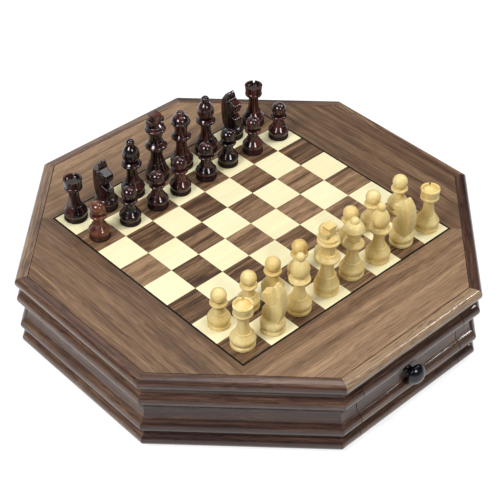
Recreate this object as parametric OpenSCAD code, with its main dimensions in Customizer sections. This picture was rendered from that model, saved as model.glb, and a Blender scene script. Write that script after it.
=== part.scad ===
/* [Board] */
// Side of one playing square
square_size = 31.75; // [28:0.25:33]
// Width of the black line around the field
inlay_w = 1.8; // [1:0.1:3]
// Thickness of the veneers on the board
veneer_t = 0.8; // [0.5:0.1:1.5]
// Width of the open joint between the border veneers and the frame
border_gap = 0.6; // [0.3:0.1:1]

/* [Case] */
// Width over the flats of the walls, to the crown of the mouldings
across_flats = 407; // [396:0.2:420]
// Height from the table to the playing surface
case_height = 80; // [79:0.5:84]
// Depth of the wall mouldings, from the inner face to the crown
wall_t = 17.3; // [16:0.1:19]
// Width of the frame mouldings around the top, from the inner edge to the crown
frame_w = 11.1; // [10:0.1:12.4]
// Thickness of the bottom board
bottom_t = 6; // [4:0.5:8]
// Height of the bottom board above the table
bottom_lift = 3; // [2:0.5:4]
// Thickness of the cross partition
partition_t = 12; // [8:0.5:16]
// Thickness of the boards beside the drawers
bay_t = 8; // [6:0.5:8.5]

/* [Drawers] */
// Width of the drawer fronts
drawer_w = 125; // [112:1:132]
// Joint around the drawer fronts
front_gap = 0.5; // [0.4:0.1:1]
// Thickness of the drawer sides and back
drawer_side_t = 8; // [6:0.5:10]
// Height of the drawer sides and back
drawer_side_h = 46; // [36:1:50]
// Thickness of the drawer bottom
drawer_bottom_t = 3; // [3:0.5:4]
// Thickness of the felt on the drawer bottom
felt_t = 1; // [0.8:0.1:2]
// Running clearance around the drawer box
slide_gap = 0.3; // [0.3:0.1:0.6]
// Height of the knob's centre above the table
knob_z = 39; // [36:0.5:41]
// Radius of the knob's head
knob_r = 10; // [8:0.5:11]

/* [Chessmen] */
// Base radius of the king, queen and bishops
tall_base_r = 11.3; // [10.8:0.1:12]
// Base radius of the rooks and knights
short_base_r = 11.2; // [10.8:0.1:12]
// Base radius of the pawns
pawn_base_r = 10.2; // [9.8:0.1:11]
// Radius of a pawn's head
pawn_head_r = 7; // [6.6:0.1:7.4]
// Thickness of a knight's head
knight_t = 11; // [10:0.5:12]

/* [Hidden] */
$fn = 64;

// Octagon: eight sides, turned so that a flat faces the front
half_turn = 22.5;
apothem = across_flats / 2;
wall_in = apothem - wall_t;
frame_in = apothem - frame_w;
wedge_reach = apothem + 20;

// The mouldings' rounded members: radius and height of the middle of each
base_bead = [6.4, 8.6];
low_bead = [7, 25];
high_bead = [6.5, 56];
frame_z = 75;
frame_top_r = 5.2;
frame_low_r = 7;

// Heights of the walls and of the frame's foot, and the cove between the two upper beads
wall_top = 66;
frame_foot_top = 68.4;
cove_z = [31.2, 50.2];
cove_sag = 2.3;

// How far the flat faces between the beads lie behind their crowns
ground_in = 5.3;

// Board
field_half = 4 * square_size;
inlay_half = field_half + inlay_w;
board_under = wall_top;
board_top = case_height - veneer_t;
border_out = frame_in - border_gap;

// Inside
floor_z = bottom_lift + bottom_t;
bay_in = drawer_w / 2;
bay_h = wall_top - floor_z;

// Drawer box
box_half = bay_in - slide_gap - 0.3;
box_z = floor_z + slide_gap;
box_back = partition_t / 2 + slide_gap + 0.2;
groove_d = 3;
drawer_bottom_z = box_z + 3;
front_z0 = 0.8;
front_z1 = wall_top - 0.6;

// Knob and its screw
knob_seat = apothem - 8;
knob_foot_r = 5;
knob_neck_r = 3.7;
knob_length = 17.5;
screw_r = 2;
screw_bore_r = 2.3;
screw_head_r = 4;
screw_head_t = 1.8;
screw_grip = 8;

// Heights on the turned bases
foot_h = 3.2;
foot_in = 0.3;
quirk_in = 1.4;
bulb_z = 7.9;
bulb_b = 4.2;

// The men: files a to h from the left, with the king on the fourth
files = ["a", "b", "c", "d", "e", "f", "g", "h"];
ranked = ["rook_a", "knight_b", "bishop_c", "king", "queen", "bishop_f", "knight_g", "rook_h"];
pawns = [for (f = files) str("pawn_", f)];
men = concat(ranked, pawns);

// How far each man stands off the centre of its square, in the order of men
light_off = [
    [0, 1.5], [-1, -1.5], [0, 0.5], [2.3, 1.3], [1.9, 1.3], [2, 0], [2.5, 1], [3, -1],
    [1.5, 1], [2.5, 0], [-2, -1], [-1.5, -0.5], [0, 0], [0.5, 1.5], [0, 3.5], [3, 2.5]
];
dark_off = [
    [-0.5, 4.5], [-1.5, -1.5], [-2.5, -3], [-1.5, 0.6], [-4, -1], [-1.5, 2.5], [1, 2], [-0.5, 4],
    [-1, 0], [1, -2], [2.5, -1.5], [0.5, 1], [1, 1], [-1, 3], [-1.5, 1.5], [2, 2]
];
// How far the light knight on the second file is turned to the left
knight_turn = 18;

box_nodes = [
    "top_board", "light_squares", "dark_squares", "inlay_line", "border_veneers",
    "frame_sides", "frame_corners", "side_walls", "corner_walls", "wall_ends",
    "bottom_board", "partition", "bay_boards"
];
drawer_pieces = ["front", "sides", "back", "bottom", "felt", "knob", "screw"];

walnut = [0.42, 0.28, 0.19];
board_brown = [0.55, 0.42, 0.3];
maple = [0.95, 0.9, 0.68];
ply = [0.8, 0.68, 0.48];
boxwood = [0.9, 0.8, 0.5];
lacquer = [0.2, 0.06, 0.05];

// Plain octagon of a given apothem
module octagon(a) {
    rotate(half_turn) circle(r = a / cos(half_turn), $fn = 8);
}

// A square field's tile, by file and rank counted from zero
module tile(file, rank) {
    translate([(file - 4) * square_size, (rank - 4) * square_size, board_top])
        cube([square_size, square_size, veneer_t]);
}

module tiles(parity) {
    for (file = [0:7], rank = [0:7])
        if ((file + rank) % 2 == parity) tile(file, rank);
}

// One eighth of the octagon, up to its corners, facing +X
module eighth(height) {
    side = wedge_reach * tan(half_turn);
    linear_extrude(height) polygon([[0, 0], [wedge_reach, -side], [wedge_reach, side]]);
}

// A profile drawn outward and up, run along the side that faces +X
module run(length) {
    translate([0, length / 2, 0]) rotate([90, 0, 0]) linear_extrude(length) children();
}

// A run of moulding mitred at both ends, turned to one of the eight sides
module mitred(turn) {
    rotate(45 * turn) intersection() {
        run(2 * wedge_reach * tan(half_turn)) children();
        eighth(case_height + 10);
    }
}

// A round of radius r at height z whose crown is the wall's outermost line
module bead(r, z) {
    translate([apothem - r, z]) circle(r, $fn = 128);
}

// The wall moulding from the table up: bead, groove, bead, cove and bead
module wall_profile() {
    half = (cove_z[1] - cove_z[0]) / 2;
    cove_r = (half * half + cove_sag * cove_sag) / (2 * cove_sag);
    difference() {
        translate([wall_in, 0]) square([wall_t - ground_in, wall_top]);
        translate([apothem - ground_in - cove_sag + cove_r, cove_z[0] + half]) circle(cove_r, $fn = 192);
    }
    for (b = [base_bead, low_bead, high_bead]) bead(b[0], b[1]);
}

// The frame moulding: a recessed foot under a flat top with a round outer edge
module frame_profile() {
    translate([frame_in, wall_top]) square([frame_w - ground_in, case_height - wall_top]);
    intersection() {
        bead(frame_top_r, frame_z);
        translate([frame_in, frame_z]) square([frame_w + 1, case_height - frame_z]);
    }
    intersection() {
        bead(frame_low_r, frame_z);
        translate([frame_in, frame_foot_top]) square([frame_w + 1, frame_z - frame_foot_top]);
    }
}

module top_board() {
    color(board_brown) translate([0, 0, board_under])
        linear_extrude(board_top - board_under) octagon(frame_in);
}

module light_squares() {
    color(maple) tiles(1);
}

module dark_squares() {
    color(walnut) tiles(0);
}

// Four strips, mitred at the field's corners
module inlay_line() {
    color("black") translate([0, 0, board_top]) for (k = [0:3])
        rotate(90 * k) linear_extrude(veneer_t) polygon([
            [field_half, -field_half], [inlay_half, -inlay_half],
            [inlay_half, inlay_half], [field_half, field_half]
        ]);
}

// Four veneers, mitred on the diagonals
module border_veneers() {
    reach = wedge_reach;
    color(walnut) translate([0, 0, board_top]) for (k = [0:3])
        rotate(90 * k) linear_extrude(veneer_t) intersection() {
            octagon(border_out);
            polygon([[inlay_half, -inlay_half], [reach, -reach], [reach, reach], [inlay_half, inlay_half]]);
        }
}

// The frame's lengths that face front, back, left and right
module frame_sides() {
    color(walnut) for (k = [0, 2, 4, 6]) mitred(k) frame_profile();
}

// The frame's lengths that run across the corners
module frame_corners() {
    color(walnut) for (k = [1, 3, 5, 7]) mitred(k) frame_profile();
}

module side_walls() {
    color(walnut) for (k = [0, 4]) mitred(k) wall_profile();
}

module corner_walls() {
    color(walnut) for (k = [1, 3, 5, 7]) mitred(k) wall_profile();
}

// The four short lengths of wall beside the drawers
module wall_ends() {
    opening = drawer_w + 2 * front_gap;
    color(walnut) difference() {
        for (k = [2, 6]) mitred(k) wall_profile();
        translate([-opening / 2, -wedge_reach, -1]) cube([opening, 2 * wedge_reach, wall_top + 2]);
    }
}

// Set inside the walls, and cut back behind the drawer fronts
module bottom_board() {
    cut = wall_in - 0.5;
    color(ply) translate([0, 0, bottom_lift]) linear_extrude(bottom_t) intersection() {
        octagon(wall_in);
        square([2 * wall_in, 2 * cut], center = true);
    }
}

module partition() {
    color(ply) translate([-wall_in, -partition_t / 2, floor_z]) cube([2 * wall_in, partition_t, bay_h]);
}

// Four boards on edge, two beside each drawer
module bay_boards() {
    length = wall_in - partition_t / 2;
    color(ply) for (x = [-1, 1], y = [-1, 1])
        translate([x * (bay_in + bay_t / 2), y * (wall_in - length / 2), floor_z + bay_h / 2])
            cube([bay_t, length, bay_h], center = true);
}

// A drawer is drawn at the front and turned half round for the back
module place_drawer(back) {
    rotate(back ? 180 : 0) children();
}

// The slot that takes the drawer bottom in the front, the sides and the back
module bottom_slot() {
    half = box_half - drawer_side_t + groove_d;
    translate([-half, -wall_in - groove_d, drawer_bottom_z])
        cube([2 * half, wall_in + groove_d - box_back - drawer_side_t + groove_d, drawer_bottom_t]);
}

module drawer_bottom(back) {
    color(ply) place_drawer(back) bottom_slot();
}

// Cut from the wall moulding, bored for the knob's foot and screw
module drawer_front(back) {
    color(walnut) place_drawer(back) difference() {
        intersection() {
            rotate(-90) run(drawer_w) wall_profile();
            translate([-drawer_w, -wedge_reach, front_z0]) cube([2 * drawer_w, wedge_reach, front_z1 - front_z0]);
        }
        bottom_slot();
        translate([0, -knob_seat, knob_z]) rotate([90, 0, 0]) cylinder(h = 10, r = knob_foot_r + 0.2);
        translate([0, -wall_in + 1, knob_z]) rotate([90, 0, 0]) cylinder(h = wall_t, r = screw_bore_r);
    }
}

module drawer_sides(back) {
    length = wall_in - box_back;
    color(ply) place_drawer(back) difference() {
        for (s = [-1, 1])
            translate([s * (box_half - drawer_side_t / 2), -box_back - length / 2, box_z + drawer_side_h / 2])
                cube([drawer_side_t, length, drawer_side_h], center = true);
        bottom_slot();
    }
}

module drawer_back(back) {
    half = box_half - drawer_side_t;
    color(ply) place_drawer(back) difference() {
        translate([-half, -box_back - drawer_side_t, box_z]) cube([2 * half, drawer_side_t, drawer_side_h]);
        bottom_slot();
    }
}

module drawer_felt(back) {
    half = box_half - drawer_side_t;
    length = wall_in - box_back - drawer_side_t;
    color("darkgreen") place_drawer(back) translate([-half, -wall_in, drawer_bottom_z + drawer_bottom_t])
        cube([2 * half, length, felt_t]);
}

// Turned knob: foot, neck and a domed head, bored for the screw
module drawer_knob(back) {
    head_z = 6.4;
    rim_r = 4.8;
    rim_in = knob_r - rim_r;
    rim_z = head_z + rim_r;
    dome = 11;
    color("black") place_drawer(back) translate([0, -knob_seat, knob_z]) rotate([90, 0, 0]) difference() {
        rotate_extrude() difference() {
            union() {
                square([knob_foot_r, 1.4]);
                square([knob_neck_r, head_z + 1]);
                intersection() {
                    union() {
                        translate([rim_in, rim_z]) circle(rim_r);
                        translate([0, head_z]) square([rim_in, knob_length]);
                        translate([0, rim_z]) square([knob_r, knob_length]);
                    }
                    translate([0, knob_length - dome]) circle(dome, $fn = 128);
                    square([knob_r, knob_length]);
                }
            }
            translate([knob_neck_r + 1.5, 3.4]) circle(1.9);
        }
        cylinder(h = screw_grip, r = screw_r);
    }
}

// Pan head inside the drawer, shank through the front into the knob
module drawer_screw(back) {
    shank = knob_seat - wall_in + screw_grip;
    color("silver") place_drawer(back) translate([0, -wall_in, knob_z]) rotate([90, 0, 0]) rotate_extrude() {
        square([screw_r, shank]);
        translate([0, -screw_head_t]) square([screw_head_r, screw_head_t]);
    }
}

// Turned half profiles, drawn from the axis out

// A rounded ring with rim radius r and half height b at height z
module ring(r, z, b) {
    translate([r - b, z]) circle(b);
    translate([0, z - b]) square([r - b, 2 * b]);
}

// A straight stretch from one height and radius to the next
module taper(z0, r0, z1, r1) {
    polygon([[0, z0], [r0, z0], [r1, z1], [0, z1]]);
}

// The same stretch with its side hollowed by sag
module hollow(z0, r0, z1, r1, sag) {
    chord = norm([r1 - r0, z1 - z0]);
    bend = (chord * chord / 4 + sag * sag) / (2 * sag);
    outward = [z1 - z0, r0 - r1] / chord;
    difference() {
        taper(z0, r0, z1, r1);
        translate([(r0 + r1) / 2, (z0 + z1) / 2] + outward * (bend - sag)) circle(bend, $fn = 128);
    }
}

// The part of a circle between two heights, right of the axis
module crown(r, x, z, z0, z1) {
    intersection() {
        translate([x, z]) circle(r, $fn = 96);
        translate([0, z0]) square([r + abs(x), z1 - z0]);
    }
}

// Foot, quirk and bulb, which every man has
module turned_base(r) {
    square([r - foot_in, foot_h]);
    square([r - quirk_in, bulb_z]);
    ring(r, bulb_z, bulb_b);
}

// The shoulder from the bulb up to the ring under the stem
module shoulder(r, z, ring_r) {
    lean = bulb_b * sin(45);
    taper(bulb_z + lean, r - bulb_b + lean, z, ring_r - 0.4);
    ring(ring_r, z, 0.7);
}

module king_profile() {
    turned_base(tall_base_r);
    shoulder(tall_base_r, 18.6, 8.1);
    hollow(18.6, 7.3, 28, 5.7, 0.4);
    taper(28, 5.7, 37, 6.4);
    ring(10.6, 37.4, 1.9);
    taper(39, 9.6, 41.2, 7.4);
    ring(7.6, 41.6, 0.8);
    hollow(42, 5.6, 55.3, 9, 1);
    ring(10.1, 56, 1.6);
    taper(57.2, 9, 59.6, 7.8);
    ring(8.6, 59.8, 0.9);
    taper(60.8, 7.4, 62.4, 5.2);
}

// The cross, flared on its arms, as seen from the front
module cross_outline() {
    for (s = [0, 1]) mirror([s, 0]) polygon([
        [0, 61.4], [4.8, 61.4], [3.6, 63.6], [4.2, 64.4], [8, 62.8],
        [8, 68.4], [4.2, 67], [3.4, 68], [5.2, 72.5], [0, 72.5]
    ]);
}

module king() {
    cross_t = 9;
    rotate_extrude() king_profile();
    intersection() {
        translate([0, cross_t / 2, 0]) rotate([90, 0, 0]) linear_extrude(cross_t) cross_outline();
        translate([0, 0, 60]) cylinder(h = 14, r = 8.6);
    }
}

module queen() {
    rotate_extrude() {
        turned_base(tall_base_r);
        shoulder(tall_base_r, 15.5, 7.9);
        hollow(15.5, 7.1, 26, 5.2, 0.5);
        taper(26, 5.2, 34.2, 6);
        ring(9.7, 34.8, 1.8);
        taper(36.2, 8.6, 38.2, 6.8);
        hollow(37.6, 5.7, 50.2, 8.8, 0.9);
        ring(9.4, 51, 1.2);
        crown(9.2, 0, 50, 50.4, 60);
        crown(4.2, 0, 59.2, 55, 64);
    }
}

module bishop() {
    rotate_extrude() {
        turned_base(tall_base_r);
        shoulder(tall_base_r, 15, 7.7);
        hollow(15, 6.9, 25.5, 4.9, 0.5);
        taper(25.5, 4.9, 33.5, 5.8);
        ring(9.6, 34.3, 1.5);
        taper(35.4, 8.2, 37.2, 6.4);
        crown(8.2, 0, 44.5, 36.2, 44.5);
        crown(14, -5.8, 44.5, 44.5, 58);
        crown(4.1, 0, 57.9, 52, 62.5);
    }
}

module rook() {
    top = 44.5;
    notches = 4;
    difference() {
        rotate_extrude() {
            turned_base(short_base_r);
            shoulder(short_base_r, 15, 7.5);
            hollow(15, 6.7, 29, 4.8, 0.6);
            taper(29, 4.8, 34, 5.2);
            ring(8.6, 35.4, 2.3);
            taper(37.3, 8.1, top, 8.8);
        }
        translate([0, 0, top - 2.8]) cylinder(h = 3, r = 7);
        for (k = [0:notches - 1]) rotate(45 + 360 / notches * k)
            translate([5, -0.9, top - 2.6]) cube([6, 1.8, 3]);
    }
}

module pawn() {
    rotate_extrude() {
        turned_base(pawn_base_r);
        shoulder(pawn_base_r, 14.2, 6.9);
        hollow(14.2, 6.2, 21.4, 4.7, 0.3);
        taper(21.4, 4.7, 24.2, 5.3);
        ring(7.9, 24.6, 1.4);
        crown(pawn_head_r, 0, 32.1, 24, 40);
    }
}

// A carved head seen from its right: back of the mane, ears, forehead, muzzle, throat and chest
module knight_side() {
    polygon([
        [-6.5, 10], [-9, 16], [-10.6, 23], [-11, 30], [-10.2, 37], [-8.4, 43], [-5.8, 47.6],
        [-3.2, 50.4], [-1.2, 49.2], [-0.4, 45.6], [-0.6, 43], [8.2, 39.8], [9.6, 37.6], [9, 35],
        [6, 34.4], [7.6, 32.8], [6.8, 30.8], [3.2, 29.2], [1.4, 27], [8, 24], [8.6, 19.8],
        [8.6, 15], [7, 10]
    ]);
}

// The head seen from the front: full at the chest and cheeks, narrower at the ears
module knight_front() {
    half = knight_t / 2;
    for (s = [0, 1]) mirror([s, 0]) polygon([
        [0, 10], [half, 10], [half, 42], [half - 1.6, 51], [0.9, 51], [0, 47]
    ]);
}

// The head seen from above: a flat mane at the back, tapered to the muzzle
module knight_plan() {
    half = knight_t / 2;
    for (s = [0, 1]) mirror([s, 0]) polygon([
        [0, -12], [half - 0.6, -12], [half, -9], [half, -1], [half - 1.7, 10], [0, 10]
    ]);
}

// Foot and bulb with a carved head, facing +Y
module knight() {
    rotate_extrude() {
        turned_base(short_base_r);
        square([8.6, 12]);
    }
    intersection() {
        translate([-knight_t, 0, 0]) rotate([90, 0, 90]) linear_extrude(2 * knight_t) knight_side();
        translate([0, 15, 0]) rotate([90, 0, 0]) linear_extrude(30) knight_front();
        linear_extrude(60) knight_plan();
    }
}

// One man by its place in the list of men
module man_shape(i) {
    if (i == 0 || i == 7) rook();
    if (i == 1 || i == 6) knight();
    if (i == 2 || i == 5) bishop();
    if (i == 3) king();
    if (i == 4) queen();
    if (i > 7) pawn();
}

// Stands man i on its square, with ranks counted from zero
module stand(i, rank, off) {
    translate([(i % 8 - 3.5) * square_size + off.x, (rank - 3.5) * square_size + off.y, case_height]) children();
}

module light_man(i) {
    color(boxwood) stand(i, i < 8 ? 0 : 1, light_off[i]) rotate(i == 1 ? knight_turn : 0) man_shape(i);
}

module dark_man(i) {
    color(lacquer) stand(i, i < 8 ? 7 : 6, dark_off[i]) rotate(180) man_shape(i);
}

top_board();
light_squares();
dark_squares();
inlay_line();
border_veneers();
frame_sides();
frame_corners();
side_walls();
corner_walls();
wall_ends();
bottom_board();
partition();
bay_boards();
drawer_front(false);  // front_drawer_front
drawer_sides(false);  // front_drawer_sides
drawer_back(false);  // front_drawer_back
drawer_bottom(false);  // front_drawer_bottom
drawer_felt(false);  // front_drawer_felt
drawer_knob(false);  // front_drawer_knob
drawer_screw(false);  // front_drawer_screw
drawer_front(true);  // back_drawer_front
drawer_sides(true);  // back_drawer_sides
drawer_back(true);  // back_drawer_back
drawer_bottom(true);  // back_drawer_bottom
drawer_felt(true);  // back_drawer_felt
drawer_knob(true);  // back_drawer_knob
drawer_screw(true);  // back_drawer_screw
for (i = [0:15]) {
    light_man(i);
    dark_man(i);
}
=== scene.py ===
import math
import random
from functools import partial

import bmesh
import bpy
import mathutils
from mathutils import Matrix, Vector


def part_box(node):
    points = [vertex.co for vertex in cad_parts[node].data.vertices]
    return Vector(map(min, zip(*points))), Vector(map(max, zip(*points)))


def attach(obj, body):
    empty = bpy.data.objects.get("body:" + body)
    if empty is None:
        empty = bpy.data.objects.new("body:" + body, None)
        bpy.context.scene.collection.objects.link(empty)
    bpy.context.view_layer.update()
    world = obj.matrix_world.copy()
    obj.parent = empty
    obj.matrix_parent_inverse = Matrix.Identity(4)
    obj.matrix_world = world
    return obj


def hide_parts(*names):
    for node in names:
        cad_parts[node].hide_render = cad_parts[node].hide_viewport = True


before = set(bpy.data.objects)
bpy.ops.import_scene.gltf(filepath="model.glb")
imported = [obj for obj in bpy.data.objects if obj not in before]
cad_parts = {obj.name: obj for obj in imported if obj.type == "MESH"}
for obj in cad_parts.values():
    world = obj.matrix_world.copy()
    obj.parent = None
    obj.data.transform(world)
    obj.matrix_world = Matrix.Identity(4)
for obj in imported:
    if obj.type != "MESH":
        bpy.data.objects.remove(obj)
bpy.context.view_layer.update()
mm = 0.001
boardZ = 80 * mm
print("frame loaded:", len(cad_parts), "nodes")


def withSettings(thing, **settings):
    for name, value in settings.items():
        setattr(thing, name, value)
    return thing


# adds a node; each input is a value or the socket that feeds it
def addNode(tree, kind, values=None, **settings):
    node = withSettings(tree.nodes.new(kind), **settings)
    for socket, value in (values or {}).items():
        if isinstance(value, bpy.types.NodeSocket):
            tree.links.new(value, node.inputs[socket])
        else:
            node.inputs[socket].default_value = value
    return node


# adds a node to the tree of the sockets that feed it
def fedNode(kind, values, **settings):
    tree = next(value.id_data for value in values.values() if isinstance(value, bpy.types.NodeSocket))
    return addNode(tree, kind, values, **settings)


# the same, for its first output alone
def made(kind, values, **settings):
    return fedNode(kind, values, **settings).outputs[0]


# the same, for geometry nodes
def geo(kind, values, **settings):
    return made("GeometryNode" + kind, values, **settings)


# the output of a geometry node that nothing feeds
def source(tree, kind, values=None, **settings):
    return addNode(tree, "GeometryNode" + kind, values, **settings).outputs[0]


def maths(operation, a, b=0.0, c=0.0):
    return made("ShaderNodeMath", {0: a, 1: b, 2: c}, operation=operation)


# multiplyAdd gives a * b + c
add, subtract, multiply, multiplyAdd = (
    partial(maths, kind) for kind in ("ADD", "SUBTRACT", "MULTIPLY", "MULTIPLY_ADD"))


def vectorMaths(operation, a, b=(0, 0, 0), output="Vector"):
    return fedNode("ShaderNodeVectorMath", {0: a, 1: b}, operation=operation).outputs[output]


def combine(x, y, z):
    return made("ShaderNodeCombineXYZ", {0: x, 1: y, 2: z})


def separate(vector):
    return fedNode("ShaderNodeSeparateXYZ", {0: vector}).outputs


# ends are the two values that give the two results
def mapRange(value, ends, results, kind="SMOOTHSTEP"):
    values = {0: value, 1: ends[0], 2: ends[1], 3: results[0], 4: results[1]}
    return made("ShaderNodeMapRange", values, interpolation_type=kind)


# the first value where the switch is 1, the second where it is 0
def choose(switch, first, second):
    return add(multiply(switch, first), multiply(subtract(1.0, switch), second))


def ramp(factor, stops):
    node = fedNode("ShaderNodeValToRGB", {0: factor})
    elements = node.color_ramp.elements
    while len(elements) < len(stops):
        elements.new(0.5)
    for element, (place, colour) in zip(elements, stops):
        element.position = place
        element.color = (*colour, 1)
    return node.outputs[0]


def greys(stops):
    return [(place, (value, value, value)) for place, value in stops]


def mixColour(blend, factor, a, b):
    values = {0: factor, 6: a, 7: b}
    return fedNode("ShaderNodeMix", values, data_type="RGBA", blend_type=blend).outputs[2]


# multiplies a colour by a grey that goes from the first stop's value to the last one's
def shade(colour, factor, *stops):
    return mixColour("MULTIPLY", 1.0, colour, ramp(factor, greys(stops)))


def noise(place, stretch, detail=2.0, roughness=0.5, distortion=0.0):
    spread = vectorMaths("MULTIPLY", place, stretch)
    return made("ShaderNodeTexNoise", {"Vector": spread, "Scale": 1.0, "Detail": detail,
                                       "Roughness": roughness, "Distortion": distortion})


def attribute(tree, name):
    return addNode(tree, "ShaderNodeAttribute", attribute_name=name).outputs


# where a piece's wood lies in its board, along x, and its own shade
def ownGrain(tree):
    return attribute(tree, "grain")["Vector"], attribute(tree, "tone")["Fac"]


def objectPlace(tree):
    return addNode(tree, "ShaderNodeTexCoord").outputs["Object"]


def emptyTree(owner):
    owner.use_nodes = True
    owner.node_tree.nodes.clear()
    return owner.node_tree


# a material whose surface is the shader that paint makes from the look
def makeMaterial(name, paint, *look):
    material = bpy.data.materials.new(name)
    tree = emptyTree(material)
    addNode(tree, "ShaderNodeOutputMaterial", {"Surface": paint(tree, *look)})
    return material


def principled(values):
    return made("ShaderNodeBsdfPrincipled", values)


def linkObject(name, data):
    piece = bpy.data.objects.new(name, data)
    bpy.context.scene.collection.objects.link(piece)
    return piece


def removeObjects(*pieces):
    for piece in pieces:
        bpy.data.objects.remove(piece)


def shadeSmooth(mesh):
    mesh.polygons.foreach_set("use_smooth", [True] * len(mesh.polygons))


cameraSet = {"place": (-0.64142, -0.68426, 0.85445), "aim": (-0.02603, -0.02677, 0.08), "roll": 0.2437,
             "lens": 95.75, "sensor": 36, "near": 0.05, "far": 60}


def makeCamera(look):
    camera = linkObject("camera", withSettings(
        bpy.data.cameras.new("camera"), lens=look["lens"], sensor_width=look["sensor"],
        clip_start=look["near"], clip_end=look["far"]))
    view = Vector(look["aim"]) - Vector(look["place"])
    roll = Matrix.Rotation(math.radians(look["roll"]), 4, "Z")
    turn = view.to_track_quat("-Z", "Y").to_matrix().to_4x4() @ roll
    camera.matrix_world = Matrix.Translation(look["place"]) @ turn
    bpy.context.scene.camera = camera


makeCamera(cameraSet)


studio = {
    "worldForLight": 0.16, "horizon": 0.5, "ceiling": 0.03, "ceilingEdge": (0.02, 0.35),
    "card": 0.9, "cardTowards": (0.12, 0.86, 0.50), "cardEdge": (0.76, 0.97),
    "floorColour": (0.30, 0.30, 0.30), "floorGlow": 0.80, "floorShine": 1.0, "floorReach": 12,
    "fleck": 900, "fleckShare": 0.03, "fade": (0.45, 1.1),
    "lampAim": (0, 0, 0.06), "lampDistance": 1.7, "lamps": {
        "leftBox": {"towards": (-0.70, -0.02, 0.71), "size": 0.60, "power": 19},
        "frontBox": {"towards": (-0.10, -0.76, 0.64), "size": 0.36, "power": 7},
        "rightBox": {"towards": (0.60, -0.25, 0.76), "size": 0.30, "power": 8},
        "topBox": {"towards": (0.20, 0.05, 0.98), "size": 1.00, "power": 9},
    },
}


# white all round for the camera; what is glossy sees some of it low down, a darker ceiling above
# and a white card behind the box
def makeWorld(look):
    world = bpy.data.worlds.new("studio")
    tree = emptyTree(world)
    path = addNode(tree, "ShaderNodeLightPath").outputs
    shiny = maths("MAXIMUM", path["Is Glossy Ray"], path["Is Transmission Ray"])
    towards = addNode(tree, "ShaderNodeTexCoord").outputs["Generated"]
    up = separate(towards)[2]
    above = mapRange(up, look["ceilingEdge"], (look["horizon"], look["ceiling"]))
    near = vectorMaths("DOT_PRODUCT", towards, look["cardTowards"], "Value")
    card = mapRange(near, look["cardEdge"], (0.0, look["card"]))
    reflected = multiply(shiny, maths("MAXIMUM", above, card))
    seen = maths("MAXIMUM", path["Is Camera Ray"], reflected)
    other = subtract(1.0, maths("MAXIMUM", path["Is Camera Ray"], shiny))
    strength = multiplyAdd(other, look["worldForLight"], seen)
    sky = made("ShaderNodeBackground", {"Color": (1, 1, 1, 1), "Strength": strength})
    addNode(tree, "ShaderNodeOutputWorld", {"Surface": sky})
    bpy.context.scene.world = world


def makeLamps(look):
    for name, lamp in look["lamps"].items():
        box = linkObject(name, withSettings(
            bpy.data.lights.new(name, "AREA"), shape="SQUARE", size=lamp["size"], energy=lamp["power"]))
        towards = Vector(lamp["towards"]).normalized()
        box.location = Vector(look["lampAim"]) + towards * look["lampDistance"]
        box.rotation_euler = towards.to_track_quat("Z", "Y").to_euler()


# paper that keeps the shadow near the box and fades into plain white further out
def paper(tree, look):
    place = objectPlace(tree)
    fade = mapRange(vectorMaths("LENGTH", place, output="Value"), look["fade"], (0.0, 1.0))
    path = addNode(tree, "ShaderNodeLightPath").outputs
    seen = maths("MAXIMUM", path["Is Camera Ray"], multiply(path["Is Glossy Ray"], look["floorShine"]))
    flecks = multiply(noise(place, (look["fleck"],) * 3, 3), look["fleckShare"])
    colour = mixColour("MIX", flecks, (*look["floorColour"], 1), (1, 1, 1, 1))
    flat = made("ShaderNodeBsdfDiffuse", {"Color": colour})
    glow = made("ShaderNodeEmission", {"Strength": multiply(seen, look["floorGlow"])})
    near = made("ShaderNodeAddShader", {0: flat, 1: glow})
    white = made("ShaderNodeEmission", {"Strength": seen})
    return made("ShaderNodeMixShader", {0: multiply(fade, seen), 1: near, 2: white})


def makeFloor(look):
    mesh = bpy.data.meshes.new("floor")
    reach = look["floorReach"]
    corners = [(-reach, -reach, 0), (reach, -reach, 0), (reach, reach, 0), (-reach, reach, 0)]
    mesh.from_pydata(corners, [], [(0, 1, 2, 3)])
    mesh.materials.append(makeMaterial("white paper", paper, look))
    floor = linkObject("floor", mesh)


makeWorld(studio)
makeLamps(studio)
makeFloor(studio)
bpy.context.scene.view_settings.view_transform = "Standard"
print("studio ready")


# the wood's four shades from its dark streaks up; pore is how dark the pores are, widen stretches the
# figure across the grain, and depth is how far the grain stands up, in metres
walnutLook = {
    "streak": (0.052, 0.024, 0.013), "deep": (0.108, 0.055, 0.027), "brown": (0.212, 0.122, 0.065),
    "golden": (0.365, 0.226, 0.126), "roughness": 0.32, "gloss": 0.3, "pore": 0.5, "contrast": 1.0,
    "widen": 0.55, "depth": 0.00003,
}
# how often each pattern repeats in a metre along and across the grain, and where its shades lie
walnutFigure = {
    "drift": (5, 22, 22), "sway": 0.022, "bands": (2.2, 75), "lines": (12, 460), "lineShare": 0.38,
    "fibre": (45, 1500, 1500), "fibreShade": ((0.3, 0.62), (0.7, 1.22)), "pores": (75, 1200, 1200),
    "poreShade": (0.36, 0.46), "poreDip": ((0.34, 0), (0.46, 1)), "colours": (0.36, 0.44, 0.52, 0.63),
}


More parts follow.
